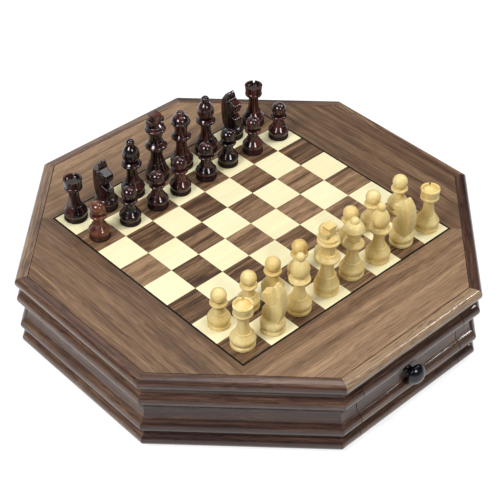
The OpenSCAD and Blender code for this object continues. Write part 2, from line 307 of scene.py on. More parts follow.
# x of the place runs along the grain; tone moves the whole board lighter or darker
def walnutWood(place, tone, look, figure=walnutFigure):
    drift = subtract(noise(place, figure["drift"]), 0.5)
    sway = multiply(drift, figure["sway"])
    place = vectorMaths("ADD", place, combine(0.0, sway, sway))

    def widened(along, across):
        return (along, across / look["widen"], across / look["widen"])

    bands = noise(place, widened(*figure["bands"]), 4, 0.6, 0.3)
    lines = noise(place, widened(*figure["lines"]), 3, 0.6)
    fibre = noise(place, figure["fibre"], 3, 0.6)
    pores = noise(place, figure["pores"])
    factor = add(multiply(bands, 1 - figure["lineShare"]), multiply(lines, figure["lineShare"]))
    factor = multiplyAdd(subtract(factor, 0.5), look["contrast"], 0.5)
    shades = [look[name] for name in ("streak", "deep", "brown", "golden")]
    colour = ramp(add(factor, tone), list(zip(figure["colours"], shades)))
    colour = shade(colour, fibre, *figure["fibreShade"])
    low, high = figure["poreShade"]
    colour = shade(colour, pores, (low, look["pore"]), (high, 1.0))
    dips = ramp(pores, greys(figure["poreDip"]))
    return colour, add(multiply(fibre, 0.5), dips)


# depth is how far the height stands up, in metres
def bump(height, depth, strength):
    return made("ShaderNodeBump", {"Strength": strength, "Distance": depth, "Height": height})


satinGrain = {"strength": 0.5, "roughening": 0.06, "coatRoughness": 0.1}


def satin(colour, height, look, grain=satinGrain):
    relief = bump(height, look["depth"], grain["strength"])
    return principled({
        "Base Color": colour, "Normal": relief, "Specular IOR Level": look["gloss"],
        "Roughness": multiplyAdd(height, grain["roughening"], look["roughness"]),
        "Coat Weight": look.get("coat", 0.0), "Coat Normal": relief,
        "Coat Roughness": look.get("coatRoughness", grain["coatRoughness"])})


mouldingLook = {
    "streak": (0.034, 0.013, 0.010), "deep": (0.076, 0.032, 0.020), "brown": (0.150, 0.078, 0.048),
    "golden": (0.330, 0.215, 0.125), "roughness": 0.40, "gloss": 0.2, "coat": 0.8, "coatRoughness": 0.12,
    "pore": 0.5, "contrast": 0.8, "widen": 1.1, "depth": 0.00005,
}


def walnut(tree, look):
    return satin(*walnutWood(*ownGrain(tree), look), look)


# tones shade the four sheets, and fades say how much paler each grows in a metre outwards; middle is
# how far out a sheet has its own tone, and apart is how far apart the sheets lie in their board
borderLook = dict(walnutLook, pore=0.7, contrast=0.6, gloss=0.55, widen=0.75, middle=0.16,
                  apart=(0.61, 0.37),
                  tones={"left": 0.0, "front": 0.05, "right": -0.02, "back": 0.07},
                  fades={"left": 0.6, "front": 1.2, "right": -0.3, "back": 1.4})


# each of the four border veneers has its grain along its outer edge
def walnutBorder(tree, look):
    x, y, _ = separate(objectPlace(tree))
    side = maths("GREATER_THAN", maths("ABSOLUTE", x), maths("ABSOLUTE", y))
    across, along = choose(side, x, y), choose(side, y, x)
    outward = maths("SIGN", across)
    sheet = multiplyAdd(side, 3.0, outward)
    spread, depth = look["apart"]
    place = combine(multiplyAdd(sheet, spread, along), across, multiply(sheet, depth))
    plus = maths("GREATER_THAN", outward, 0.0)

    def bySide(values):
        onSide = multiplyAdd(plus, values["right"] - values["left"], values["left"])
        onEnd = multiplyAdd(plus, values["back"] - values["front"], values["front"])
        return choose(side, onSide, onEnd)

    out = subtract(maths("ABSOLUTE", across), look["middle"])
    tone = multiplyAdd(out, bySide(look["fades"]), bySide(look["tones"]))
    return satin(*walnutWood(place, tone, look), look)


# bands has the stretch, detail, roughness and distortion of the bands of colour; ply is a ply's
# thickness in mm, and wander how far the plies wave, in metres
mapleLook = {
    "colours": ((0.3, (0.82, 0.74, 0.45)), (0.65, (0.86, 0.80, 0.52))), "bands": ((14, 160, 160), 3, 0.6),
    "fibre": (60, 1800, 1800), "fibreShade": ((0.3, 0.965), (0.7, 1.02)), "roughness": 0.4, "gloss": 0.3,
    "depth": 0.00001,
}
boxwoodLook = {
    "colours": ((0.30, (0.86, 0.71, 0.34)), (0.60, (0.74, 0.55, 0.21)), (0.95, (0.74, 0.46, 0.13))),
    "bands": ((14, 110, 110), 3, 0.55, 0.3), "fibre": (70, 1500, 1500),
    "fibreShade": ((0.3, 0.93), (0.7, 1.04)), "roughness": 0.34, "gloss": 0.4, "depth": 0.00002,
}
plyLook = {
    "colours": ((0.3, (0.42, 0.29, 0.17)), (0.7, (0.60, 0.45, 0.28))), "bands": ((60, 6, 60), 4, 0.6, 0.4),
    "fibre": (1500, 50, 1500), "fibreShade": ((0.3, 0.85), (0.7, 1.1)), "roughness": 0.55, "gloss": 0.3,
    "depth": 0.00005, "ply": 1.3, "wander": 0.0006, "wanderStretch": (25, 25, 25),
    "face": (0.60, 0.45, 0.28), "glue": (0.16, 0.10, 0.06), "edge": (0.36, 0.24, 0.14),
    "edgeShade": ((0.3, 0.8), (0.7, 1.05)),
}


# bands of colour with fine fibres over them; returns the colour and the fibres
def bandedWood(place, tone, look):
    bands = noise(place, *look["bands"])
    fibre = noise(place, look["fibre"])
    colour = ramp(add(bands, tone), look["colours"])
    return shade(colour, fibre, *look["fibreShade"]), fibre


def banded(tree, look):
    return satin(*bandedWood(*ownGrain(tree), look), look)


# plies lie across the given axis, so their edges show as stripes on the other faces
def plywood(tree, look, axis):
    place = objectPlace(tree)
    colour, fibre = bandedWood(place, 0.0, look)
    wander = multiply(noise(place, look["wanderStretch"]), look["wander"])
    depth = add(separate(place)[axis], wander)
    ply = maths("FRACT", maths("DIVIDE", depth, look["ply"] * mm * 2))
    glue, face, edge = look["glue"], look["face"], look["edge"]
    stripe = ramp(ply, [(0.0, glue), (0.06, face), (0.48, face), (0.54, edge), (0.94, edge), (1.0, glue)])
    stripe = shade(stripe, fibre, *look["edgeShade"])
    facing = separate(addNode(tree, "ShaderNodeNewGeometry").outputs["True Normal"])
    onEdge = maths("LESS_THAN", maths("ABSOLUTE", facing[axis]), 0.5)
    return satin(mixColour("MIX", onEdge, colour, stripe), fibre, look)


lineLook = {"dark": (0.003, 0.003, 0.003), "light": (0.008, 0.007, 0.007), "speckle": 300, "roughness": 0.5,
            "gloss": 0.15, "depth": 0.00003}
knobFinish = {"dark": (0.003, 0.004, 0.008), "light": (0.006, 0.007, 0.012), "speckle": 220,
              "roughness": 0.12, "roughening": 0.10, "metal": 0.0}
steelFinish = {"dark": (0.42, 0.42, 0.40), "light": (0.62, 0.61, 0.58), "speckle": 700,
               "roughness": 0.28, "roughening": 0.2, "metal": 1.0}


# a colour with soft speckles in it; returns the colour and the speckles
def speckled(tree, look):
    speckle = noise(objectPlace(tree), (look["speckle"],) * 3, 3)
    return ramp(speckle, [(0.3, look["dark"]), (0.7, look["light"])]), speckle


def dullSpeckled(tree, look):
    return satin(*speckled(tree, look), look)


def brightSpeckled(tree, look):
    colour, speckle = speckled(tree, look)
    rough = multiplyAdd(speckle, look["roughening"], look["roughness"])
    return principled({"Base Color": colour, "Roughness": rough, "Metallic": look["metal"]})


coreLook = {"dark": (0.035, 0.022, 0.016), "light": (0.075, 0.050, 0.036), "fleck": (1400, 4), "cloud": 60,
            "roughness": 0.7, "gloss": 0.2, "depth": 0.00008}
feltLook = {"dark": (0.018, 0.095, 0.045), "light": (0.035, 0.16, 0.075), "fleck": (900, 5), "cloud": 40,
            "roughness": 0.95, "gloss": 0.1, "sheen": 0.5, "sheenRoughness": 0.5, "strength": 0.8,
            "depth": 0.0003}


# fine flecks over wide clouds; returns the colour and the flecks
def flecked(tree, look):
    place = objectPlace(tree)
    size, detail = look["fleck"]
    fleck = noise(place, (size,) * 3, detail, 0.7)
    cloud = noise(place, (look["cloud"],) * 3, 3)
    factor = multiplyAdd(cloud, 0.4, multiply(fleck, 0.6))
    return ramp(factor, [(0.35, look["dark"]), (0.65, look["light"])]), fleck


def stained(tree, look):
    return satin(*flecked(tree, look), look)


def tufted(tree, look):
    colour, tufts = flecked(tree, look)
    return principled({
        "Base Color": colour, "Roughness": look["roughness"], "Specular IOR Level": look["gloss"],
        "Normal": bump(tufts, look["depth"], look["strength"]), "Sheen Weight": look["sheen"],
        "Sheen Roughness": look["sheenRoughness"]})


# footTop is where the duller foot ends and footFade where the full gloss begins, in mm over the board
lacquerLook = {
    "colours": ((0.42, (0.004, 0.0010, 0.0022)), (0.66, (0.062, 0.012, 0.010)), (1.0, (0.19, 0.065, 0.022))),
    "bands": ((20, 120, 120), 3, 0.6, 0.5), "fibre": (60, 1300, 1300),
    "fibreShade": ((0.3, 0.8), (0.7, 1.15)), "foot": (0.022, 0.012, 0.011), "footTop": 3.4,
    "footFade": 4.2, "footShare": 0.75, "footRoughness": 0.40, "roughness": 0.35, "gloss": 0.08,
    "coatRoughness": 0.12, "coatIor": 1.57, "strength": 0.25, "depth": 0.00002,
}


# a glossy dark red-brown over wood, with a duller turned foot
def lacquered(tree, look):
    colour, fibre = bandedWood(*ownGrain(tree), look)
    rise = (boardZ + look["footTop"] * mm, boardZ + look["footFade"] * mm)
    foot = mapRange(separate(objectPlace(tree))[2], rise, (1.0, 0.0), "LINEAR")
    colour = mixColour("MIX", multiply(foot, look["footShare"]), colour, (*look["foot"], 1))
    duller = look["footRoughness"] - look["roughness"]
    return principled({
        "Base Color": colour, "Roughness": multiplyAdd(foot, duller, look["roughness"]),
        "Normal": bump(fibre, look["depth"], look["strength"]),
        "Specular IOR Level": look["gloss"], "Coat Weight": subtract(1.0, foot),
        "Coat Roughness": look["coatRoughness"], "Coat IOR": look["coatIor"]})


solidWalnut = makeMaterial("solid walnut", walnut, mouldingLook)
borderWalnut = makeMaterial("walnut veneer border", walnutBorder, borderLook)
tileWalnut = makeMaterial("walnut veneer squares", walnut, walnutLook)
tileMaple = makeMaterial("maple veneer squares", banded, mapleLook)
blackLine = makeMaterial("black stringing", dullSpeckled, lineLook)
plywoods = [makeMaterial("birch plywood across " + name, plywood, plyLook, axis)
            for axis, name in enumerate("xyz")]
coreBoard = makeMaterial("stained core board", stained, coreLook)
felt = makeMaterial("green felt", tufted, feltLook)
knobBlack = makeMaterial("gloss black knob", brightSpeckled, knobFinish)
screwSteel = makeMaterial("zinc plated steel", brightSpeckled, steelFinish)
boxwood = makeMaterial("satin boxwood", banded, boxwoodLook)
lacquer = makeMaterial("dark red lacquer", lacquered, lacquerLook)
print("finishes ready")

largestBend = math.radians(8)  # between two stretches of a curve


# corners are (across, up, bulge) in mm; the bulge is how far the side to the next corner
# bows out to the right of its direction of travel, or in when it is negative
def drawOutline(corners, step=0.6):
    drawn = []
    for (x0, z0, bulge), (x1, z1, _) in zip(corners, corners[1:] + corners[:1]):
        start, end = Vector((x0, z0)), Vector((x1, z1))
        drawn.append(start)
        if bulge == 0:
            continue
        chord = (end - start).length
        radius = (chord * chord / 4 + bulge * bulge) / (2 * abs(bulge))
        sweep = math.copysign(4 * math.atan(2 * abs(bulge) / chord), bulge)
        count = max(3, round(radius * abs(sweep) / step), round(abs(sweep) / largestBend))
        side = (end - start) / chord
        right = Vector((side.y, -side.x)) * math.copysign(1, bulge)
        centre = (start + end) / 2 + right * (abs(bulge) - radius)
        for k in range(1, count):
            spoke = start - centre
            spoke.rotate(Matrix.Rotation(sweep * k / count, 2))
            drawn.append(centre + spoke)
    return drawn


# a carrier for an outline, closed for a moulding and open for a turned shape
def outlineObject(name, points, closed):
    mesh = bpy.data.meshes.new(name)
    count = len(points)
    edges = [(k, (k + 1) % count) for k in range(count if closed else count - 1)]
    mesh.from_pydata([(p.x * mm, p.y * mm, 0) for p in points], edges, [])
    return linkObject(name, mesh)


def evaluatedMesh(piece):
    bpy.context.view_layer.update()
    return bpy.data.meshes.new_from_object(piece.evaluated_get(bpy.context.evaluated_depsgraph_get()))


# runs a geometry tree on an empty carrier and returns its result as a plain mesh
def growMesh(name, tree, values):
    carrier = linkObject(name + ".carrier", bpy.data.meshes.new(name))
    modifier = withSettings(carrier.modifiers.new("grow", "NODES"), node_group=tree)
    for item in tree.interface.items_tree:
        if item.in_out == "INPUT" and item.name in values:
            modifier[item.identifier] = values[item.name]
    mesh = evaluatedMesh(carrier)
    carrier.modifiers.remove(modifier)
    bpy.data.meshes.remove(carrier.data)  # takes the carrier with it
    mesh.name = name
    return mesh


# inputs are (title, kind) or (title, kind, default)
def startGeometryTree(name, inputs):
    tree = bpy.data.node_groups.new(name, "GeometryNodeTree")
    for title, kind, *default in inputs:
        socket = tree.interface.new_socket(name=title, in_out="INPUT", socket_type="NodeSocket" + kind)
        if default:
            socket.default_value = default[0]
    tree.interface.new_socket(name="Geometry", in_out="OUTPUT", socket_type="NodeSocketGeometry")
    return tree, tree.nodes.new("NodeGroupInput").outputs


def storeAttribute(geometry, name, value, kind="FLOAT_VECTOR", domain="POINT"):
    values = {"Geometry": geometry, "Name": name, "Value": value}
    return geo("StoreNamedAttribute", values, data_type=kind, domain=domain)


def fromObject(piece):
    return fedNode("GeometryNodeObjectInfo", {"Object": piece}).outputs["Geometry"]


# the column and the row of each point of a grid, from the number of points in a column
def gridPlace(count):
    index = source(count.id_data, "InputIndex")
    column = maths("FLOOR", maths("DIVIDE", add(index, 0.5), count))
    return column, subtract(index, multiply(column, count))


hardAngle = 0.5  # edges that turn by more than this many radians stay sharp


def finishGeometryTree(tree, geometry, material):
    whole = geo("RealizeInstances", {0: geometry})
    smooth = geo("SetShadeSmooth", {"Geometry": whole, "Shade Smooth": True}, domain="FACE")
    hard = maths("GREATER_THAN", source(tree, "InputMeshEdgeAngle"), hardAngle)
    creased = geo("SetShadeSmooth", {"Geometry": smooth, "Selection": hard, "Shade Smooth": False},
                  domain="EDGE")
    coated = geo("SetMaterial", {"Geometry": creased, "Material": material})
    addNode(tree, "NodeGroupOutput", {0: coated})


# gives each instance its own stretch of wood and its own shade; lengths with one board number match
def shiftedInstances(tree, given, runs):
    board = add(source(tree, "InputIndex"), given["Board"])
    values = {"ID": board, "Seed": given["Seed"]}
    reach = {0: (-3, -3, -3), 1: (3, 3, 3)}
    shift = made("FunctionNodeRandomValue", {**reach, **values}, data_type="FLOAT_VECTOR")
    tone = addNode(tree, "FunctionNodeRandomValue", values, data_type="FLOAT").outputs[1]
    tone = multiplyAdd(subtract(tone, 0.5), given["Tone Spread"], given["Tone"])
    runs = storeAttribute(runs, "shift", shift, domain="INSTANCE")
    runs = storeAttribute(runs, "tone", tone, "FLOAT", "INSTANCE")
    whole = geo("RealizeInstances", {0: runs})
    stored = [source(tree, "InputNamedAttribute", {"Name": name}, data_type="FLOAT_VECTOR")
              for name in ("grain", "shift")]
    return storeAttribute(whole, "grain", vectorMaths("ADD", *stored))


# a length of moulding for each run, set round the axis; its ends lie at Offset + Mitre * the distance out
def makeMouldingTree():
    tree, given = startGeometryTree("moulding runs", [
        ("Outline", "Object"), ("Near Offset", "Float"), ("Near Mitre", "Float"), ("Far Offset", "Float"),
        ("Far Mitre", "Float"), ("Runs", "Int", 1), ("First Turn", "Float"), ("Turn Step", "Float"),
        ("Seed", "Int", 1), ("Board", "Int"), ("Tone", "Float"), ("Tone Spread", "Float", 0.03),
        ("Material", "Material")])
    profile = geo("MeshToCurve", {0: fromObject(given["Outline"])})
    line = source(tree, "CurvePrimitiveLine", {"Start": (0, -1, 0), "End": (0, 1, 0)})
    line = geo("SetCurveNormal", {0: line}, mode="Z_UP")
    length = geo("CurveToMesh", {"Curve": line, "Profile Curve": profile, "Fill Caps": True})
    x, y, down = separate(source(tree, "InputPosition"))  # the outline comes out upside down
    z = multiply(down, -1.0)
    near = multiplyAdd(x, given["Near Mitre"], given["Near Offset"])
    far = multiplyAdd(x, given["Far Mitre"], given["Far Offset"])
    share = multiplyAdd(y, 0.5, 0.5)
    along = add(near, multiply(share, subtract(far, near)))
    length = storeAttribute(length, "grain", combine(along, x, z))
    length = geo("SetPosition", {"Geometry": length, "Position": combine(x, along, z)})
    length = geo("FlipFaces", {0: length})
    points = geo("MeshLine", {"Count": given["Runs"], "Offset": (0, 0, 0)})
    turn = multiplyAdd(source(tree, "InputIndex"), given["Turn Step"], given["First Turn"])
    turn = made("FunctionNodeEulerToRotation", {0: combine(0.0, 0.0, turn)})
    runs = geo("InstanceOnPoints", {"Points": points, "Instance": length, "Rotation": turn})
    finishGeometryTree(tree, shiftedInstances(tree, given, runs), given["Material"])
    return tree


# turns an open outline round the axis, from its foot to its top; a tool is cut from it or joined to it
def makeTurningTree(tooling=None):
    tree, given = startGeometryTree("turned shape", [
        ("Outline", "Object"), ("Tool", "Object"), ("Segments", "Int", 64), ("Wood Shift", "Vector"),
        ("Tone", "Float"), ("Place", "Vector"), ("Turn", "Vector"), ("Material", "Material")])
    outline = fromObject(given["Outline"])
    count = geo("AttributeDomainSize", {0: outline}, component="MESH")
    sheet = geo("MeshGrid", {"Vertices X": add(given["Segments"], 1.0), "Vertices Y": count})
    column, row = gridPlace(count)
    values = {"Geometry": outline, "Value": source(tree, "InputPosition"), "Index": row}
    radius, up, _ = separate(geo("SampleIndex", values, data_type="FLOAT_VECTOR"))
    angle = multiply(maths("DIVIDE", column, given["Segments"]), 2 * math.pi)
    turned = combine(multiply(radius, maths("COSINE", angle)), multiply(radius, maths("SINE", angle)), up)
    shape = geo("SetPosition", {"Geometry": sheet, "Position": turned})
    shape = geo("MergeByDistance", {"Geometry": shape, "Distance": 0.001 * mm})
    if tooling:
        work = addNode(tree, "GeometryNodeMeshBoolean", operation=tooling, solver="EXACT")
        tree.links.new(shape, work.inputs["Mesh 2" if tooling == "UNION" else "Mesh 1"])
        tree.links.new(fromObject(given["Tool"]), work.inputs["Mesh 2"])
        shape = work.outputs["Mesh"]
    x, y, z = separate(source(tree, "InputPosition"))
    shape = storeAttribute(shape, "grain", vectorMaths("ADD", combine(z, x, y), given["Wood Shift"]))
    shape = storeAttribute(shape, "tone", given["Tone"], "FLOAT")
    turn = made("FunctionNodeEulerToRotation", {0: given["Turn"]})
    shape = geo("Transform", {"Geometry": shape, "Translation": given["Place"], "Rotation": turn})
    finishGeometryTree(tree, shape, given["Material"])
    return tree


# square tiles of one colour on an even board, each cut from its own piece of veneer
def makeTileTree():
    tree, given = startGeometryTree("veneer squares", [
        ("Square", "Float", 0.03), ("Joint", "Float", 0.0001), ("Thickness", "Float", 0.0008),
        ("Count", "Int", 8), ("Parity", "Int"), ("Under", "Float"), ("Seed", "Int", 1), ("Board", "Int"),
        ("Tone", "Float"), ("Tone Spread", "Float", 0.1), ("Material", "Material")])
    span = multiply(given["Square"], subtract(given["Count"], 1.0))
    board = geo("MeshGrid", {"Size X": span, "Size Y": span, "Vertices X": given["Count"],
                             "Vertices Y": given["Count"]})
    side = subtract(given["Square"], given["Joint"])
    tile = geo("MeshCube", {"Size": combine(side, side, given["Thickness"])})
    tile = storeAttribute(tile, "grain", source(tree, "InputPosition"))
    lift = multiplyAdd(given["Thickness"], 0.5, given["Under"])
    tile = geo("Transform", {"Geometry": tile, "Translation": combine(0.0, 0.0, lift)})
    odd = maths("MODULO", add(*gridPlace(given["Count"])), 2.0)
    wanted = maths("COMPARE", odd, given["Parity"], 0.1)
    tiles = geo("InstanceOnPoints", {"Points": board, "Selection": wanted, "Instance": tile})
    finishGeometryTree(tree, shiftedInstances(tree, given, tiles), given["Material"])
    return tree


mouldingTree = makeMouldingTree()
turningTree = makeTurningTree()
cuttingTree = makeTurningTree("DIFFERENCE")
joiningTree = makeTurningTree("UNION")
tileTree = makeTileTree()


def rideAndReplace(mesh, body, nodes):
    piece = linkObject(mesh.name, mesh)
    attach(piece, body)
    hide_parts(*nodes)
    return piece


def easeEdges(piece, width):
    withSettings(piece.modifiers.new("eased edges", "BEVEL"), width=width * mm, segments=2,
                 limit_method="ANGLE", angle_limit=math.radians(30), harden_normals=True)


# the box's mouldings, drawn as half profiles out from the axis, and a tone for each of the lengths
mouldings = {
    "wall": [(186.2, 0, 0), (198.2, 0, 0), (198.2, 2.295, 5.3), (198.2, 14.905, 0), (198.2, 18.21, 5.463),
             (197.873, 31.864, -1.979), (197.885, 49.56, 5.457), (198.2, 62.388, 0), (198.2, 66, 0),
             (186.2, 66, 0)],
    "frame": [(192.4, 66, 0), (198.2, 66, 0), (198.2, 68.4, 0), (198.83, 68.4, 1.285), (203.5, 75, 1.048),
              (199.73, 80, 0), (192.4, 80, 0)],
    "mitreGap": 0.03, "drawerHalf": 62.5, "bayHalf": 63, "drawerFoot": 0.8, "drawerTop": 65.4, "edge": 0.25,
    "frameSides": {"right": 0.02, "back": 0.03, "left": -0.02, "front": 0.24},
    "frameCorners": {"backRight": 0.0, "backLeft": 0.08, "frontLeft": -0.06, "frontRight": -0.10},
    "sides": 0.01, "corners": -0.09, "ends": -0.04, "fronts": {"back": -0.04, "front": -0.02},
    "toneSpread": 0.04,
}
eighth = math.pi / 4
mitre = math.tan(eighth / 2)


# keeps the part of an outline between two heights
def clipOutline(points, low, high):
    kept = []
    for a, b in zip(points, points[1:] + points[:1]):
        if low <= a.y <= high:
            kept.append(a)
        for level in sorted((low, high), reverse=b.y < a.y):
            if (a.y - level) * (b.y - level) < 0:
                kept.append(a.lerp(b, (level - a.y) / (b.y - a.y)))
    return kept


# first and step turn the runs, in eighths from the right; an end without its own place is mitred
def layMoulding(look, name, node, outline, tone, seed, first, body="case", runs=1, step=2, board=0,
                near=None, far=None, spread=mouldings["toneSpread"]):
    gap = look["mitreGap"] * mm
    values = {"Outline": outlineObject(name + ".outline", outline, True), "Runs": runs, "Board": board,
              "First Turn": first * eighth, "Turn Step": step * eighth, "Seed": seed, "Tone": tone,
              "Tone Spread": spread, "Material": solidWalnut}
    values["Near Offset"], values["Near Mitre"] = (gap, -mitre) if near is None else (near * mm, 0.0)
    values["Far Offset"], values["Far Mitre"] = (-gap, mitre) if far is None else (far * mm, 0.0)
    mesh = growMesh(name, mouldingTree, values)
    easeEdges(rideAndReplace(mesh, body, [node]), look["edge"])
    removeObjects(values["Outline"])


def buildMouldings(look):
    wall, rim = drawOutline(look["wall"]), drawOutline(look["frame"])
    front = clipOutline(wall, look["drawerFoot"], look["drawerTop"])
    bay, half = look["bayHalf"], look["drawerHalf"]
    for board, (side, tone) in enumerate(look["frameSides"].items()):
        layMoulding(look, "frame." + side, "frame_sides", rim, tone, 3, 2 * board, board=board)
    for board, (side, tone) in enumerate(look["frameCorners"].items()):
        layMoulding(look, "frame." + side, "frame_corners", rim, tone, 8, 2 * board + 1, board=board)
    layMoulding(look, "walls.sides", "side_walls", wall, look["sides"], 12, 0, runs=2, step=4)
    layMoulding(look, "walls.corners", "corner_walls", wall, look["corners"], 14, 1, runs=4)
    for name, cut in (("walls.endsLeft", {"far": -bay}), ("walls.endsRight", {"near": bay})):
        layMoulding(look, name, "wall_ends", wall, look["ends"], 17, 2, runs=2, step=4, spread=0.0, **cut)
    for board, (side, tone) in enumerate(look["fronts"].items()):  # of one board with the ends beside it
        layMoulding(look, side + "Drawer.front", side + "_drawer_front", front, tone, 17, 2 + 4 * board,
                    side + "_drawer", board=board, near=-half, far=half, spread=0.0)
    print("mouldings run round the box")


buildMouldings(mouldings)

squares = {"side": 31.75, "joint": 0.05, "count": 8,
           "light": {"Parity": 1, "Seed": 5, "Tone": 0.0, "Tone Spread": 0.25},
           "dark": {"Parity": 0, "Seed": 9, "Tone": 0.02, "Tone Spread": 0.14}}
veneers = {"light": (tileMaple, "light_veneer"), "dark": (tileWalnut, "walnut_veneer")}


def buildSquares(look):
    for colour, (material, slot) in veneers.items():
        node = colour + "_squares"
        low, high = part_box(node)
        mesh = growMesh("squares." + colour, tileTree, {
            "Square": look["side"] * mm, "Joint": look["joint"] * mm, "Count": look["count"],
            "Thickness": high.z - low.z, "Under": low.z, "Material": material, **look[colour]})
        rideAndReplace(mesh, "case", [node])
    print("squares laid")


buildSquares(squares)


# a turned half profile is the outermost of its parts at each height, all in mm: a ring has its radius,
# middle height and half height; a ball its radius, distance out, middle height, low and high end; a taper
# a height and a radius, twice, and how far it sags between them
def partRadius(part, z):
    kind, *sizes = part
    if kind == "ring":
        radius, middle, half = sizes
        bow = math.sqrt(max(0, half * half - (z - middle) ** 2))
        return radius - half + bow if abs(z - middle) <= half else 0
    if kind == "ball":
        radius, across, middle, low, high = sizes
        return across + math.sqrt(max(0, radius * radius - (z - middle) ** 2)) if low <= z <= high else 0
    z0, r0, z1, r1, *sag = sizes
    if not z0 <= z <= z1:
        return 0
    share = (z - z0) / (z1 - z0)
    return r0 + (r1 - r0) * share - 4 * (sag[0] if sag else 0) * share * (1 - share)


def partHeights(part):
    kind, *sizes = part
    if kind == "ring":
        return [sizes[1] - sizes[2], sizes[1], sizes[1] + sizes[2]]
    return [sizes[3], sizes[4]] if kind == "ball" else [sizes[0], sizes[2]]


# straight is how far a stretch may bow, apart the least distance between points, both in mm
turnedLook = {"straight": 0.012, "apart": 0.04, "fewestHalvings": 2, "mostHalvings": 7}


# walks up the profile, halving each stretch until it is straight enough
def turnedOutline(parts, top, look=turnedLook):
    levels = sorted({min(max(z, 0), top) for part in parts for z in partHeights(part)} | {0, top})

    def point(z):
        return Vector((max(partRadius(part, z) for part in parts), z))

    def halve(a, b, halvings):
        middle = point((a.y + b.y) / 2)
        straight = (middle - (a + b) / 2).length < look["straight"]
        if halvings == look["mostHalvings"] or halvings >= look["fewestHalvings"] and straight:
            return [b]
        return halve(a, middle, halvings + 1) + halve(middle, b, halvings + 1)

    walk = []
    for low, high in zip(levels, levels[1:]):
        if high - low > 0.01:
            a, b = point(low + 0.001), point(high - 0.001)
            walk += [a] + halve(a, b, 0)
    kept = [Vector((0, 0))]
    for p in walk:
        if (p - kept[-1]).length > look["apart"]:
            kept.append(p)
    return kept + [Vector((0, top))]


def turnedBase(radius, neckZ, neck):
    return [("taper", 0, radius - 0.7, 0.5, radius - 0.3), ("taper", 0.5, radius - 0.3, 2.7, radius - 0.3),
            ("taper", 2.7, radius - 0.3, 3.2, radius - 0.8), ("taper", 3.2, radius - 1.4, 7.9, radius - 1.4),
            ("ring", radius, 7.9, 4.2), ("taper", 10.87, radius - 1.23, neckZ, neck - 0.4),
            ("ring", neck, neckZ, 0.7)]


menShapes = {
    "pawn": {"top": 39.1, "parts": turnedBase(10.2, 14.2, 6.9) + [
        ("taper", 14.2, 6.2, 21.4, 4.7, 0.3), ("taper", 21.4, 4.7, 24.2, 5.3), ("ring", 7.9, 24.6, 1.4),
        ("ball", 7, 0, 32.1, 25.9, 39.1)]},
    "bishop": {"top": 62, "parts": turnedBase(11.3, 15, 7.7) + [
        ("taper", 15, 6.9, 25.5, 4.9, 0.5), ("taper", 25.5, 4.9, 33.5, 5.8), ("ring", 9.6, 34.3, 1.5),
        ("taper", 35.4, 8.2, 37.2, 6.4), ("ball", 8.2, 0, 44.5, 36.3, 44.5),
        ("ball", 14, -5.8, 44.5, 44.5, 57.2), ("ball", 4.1, 0, 57.9, 53.8, 62)]},
    "queen": {"top": 63.4, "parts": turnedBase(11.3, 15.5, 7.9) + [
        ("taper", 15.5, 7.1, 26, 5.2, 0.5), ("taper", 26, 5.2, 34.2, 6), ("ring", 9.7, 34.8, 1.8),
        ("taper", 36.2, 8.6, 38.2, 6.8), ("taper", 37.6, 5.7, 50.2, 8.8, 0.9), ("ring", 9.4, 51, 1.2),
        ("ball", 9.2, 0, 50, 50.4, 59.2), ("ball", 4.2, 0, 59.2, 55, 63.4)]},
    "king": {"top": 62.4, "tooling": "UNION", "parts": turnedBase(11.3, 18.6, 8.1) + [
        ("taper", 18.6, 7.3, 28, 5.7, 0.4), ("taper", 28, 5.7, 37, 6.4), ("ring", 10.6, 37.4, 1.9),
        ("taper", 39, 9.6, 41.2, 7.4), ("ring", 7.6, 41.6, 0.8), ("taper", 42, 5.6, 55.3, 9, 1),
        ("ring", 10.1, 56, 1.6), ("taper", 57.2, 9, 59.6, 7.8), ("ring", 8.6, 59.8, 0.9),
        ("taper", 60.8, 7.4, 62.4, 5.2)]},
    "rook": {"top": 44.5, "dish": (7, 41.7), "tooling": "DIFFERENCE", "parts": turnedBase(11.2, 15, 7.5) + [
        ("taper", 15, 6.7, 29, 4.8, 0.6), ("taper", 29, 4.8, 34, 5.2), ("ring", 8.6, 35.4, 2.3),
        ("taper", 37.3, 8.1, 44.5, 8.8)]},
}


# writes the work into the given mesh, or into a new one of that name
def writeMesh(work, target):
    mesh = bpy.data.meshes.new(target) if isinstance(target, str) else target
    work.to_mesh(mesh)
    work.free()
    return mesh


# an outline on two axes, carried from near to far along the third
def prism(name, outline, near, far, axes):
    mesh = bpy.data.meshes.new(name)
    count = len(outline)
    corners = []
    for depth in (near, far):
        for u, v in outline:
            place = Vector((0, 0, 0))
            place[axes[0]], place[axes[1]], place[3 - axes[0] - axes[1]] = u * mm, v * mm, depth * mm
            corners.append(place)
    sides = [(k, (k + 1) % count, count + (k + 1) % count, count + k) for k in range(count)]
    mesh.from_pydata(corners, [], [tuple(range(count))[::-1], tuple(range(count, 2 * count))] + sides)
    work = bmesh.new()
    work.from_mesh(mesh)
    bmesh.ops.recalc_face_normals(work, faces=work.faces)
    return writeMesh(work, mesh)


def bevelMesh(mesh, width):
    work = bmesh.new()
    work.from_mesh(mesh)
    sharp = [edge for edge in work.edges if edge.calc_face_angle(0) > 0.5]
    bmesh.ops.bevel(work, geom=sharp, offset=width * mm, segments=2, profile=0.6, affect="EDGES",
                    clamp_overlap=True)
    return writeMesh(work, mesh)


kingCross = {
    "half": [(4.8, 61.4), (3.6, 63.6), (4.2, 64.4), (7.7, 62.9), (7.7, 68.3), (4.2, 67), (3.4, 68),
             (5.2, 72.5)],
    "thick": 8.4, "edge": 0.5,
}


